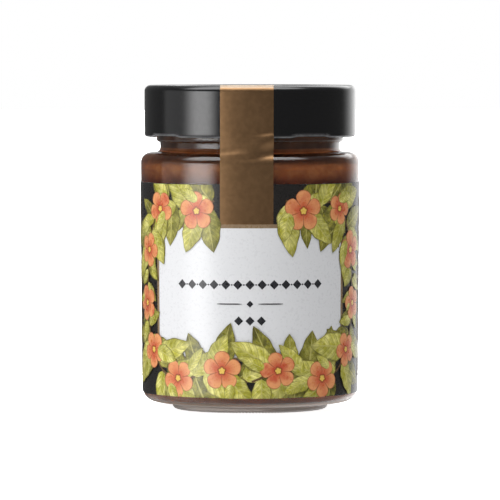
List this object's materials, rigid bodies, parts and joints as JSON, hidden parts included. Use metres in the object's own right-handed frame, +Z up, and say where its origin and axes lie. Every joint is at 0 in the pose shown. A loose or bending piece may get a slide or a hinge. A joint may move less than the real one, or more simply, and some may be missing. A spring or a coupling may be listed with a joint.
{
  "type": "jam jar",
  "caption": "Clear glass jar filled with brown jam, shut with a black twist-off lid, with a wrap-round paper label whose tongue runs up over the lid as a seal.",
  "frame": {"origin": "centre of the foot ring, on the surface that the jar stands on", "axes": "+Z up along the jar's axis, -Y towards the front of the label, +X to the right as seen from the front"},
  "size_m": [0.059, 0.0585, 0.0864],
  "materials": {
    "clear_glass": "polished",
    "jam": "gloss",
    "lacquered_lid": "gloss",
    "printed_paper": "satin"
  },
  "bodies": {
    "root": {"glass_jar": "clear_glass", "jam": "jam", "lid": "lacquered_lid", "label": "printed_paper"}
  },
  "joints": []
}
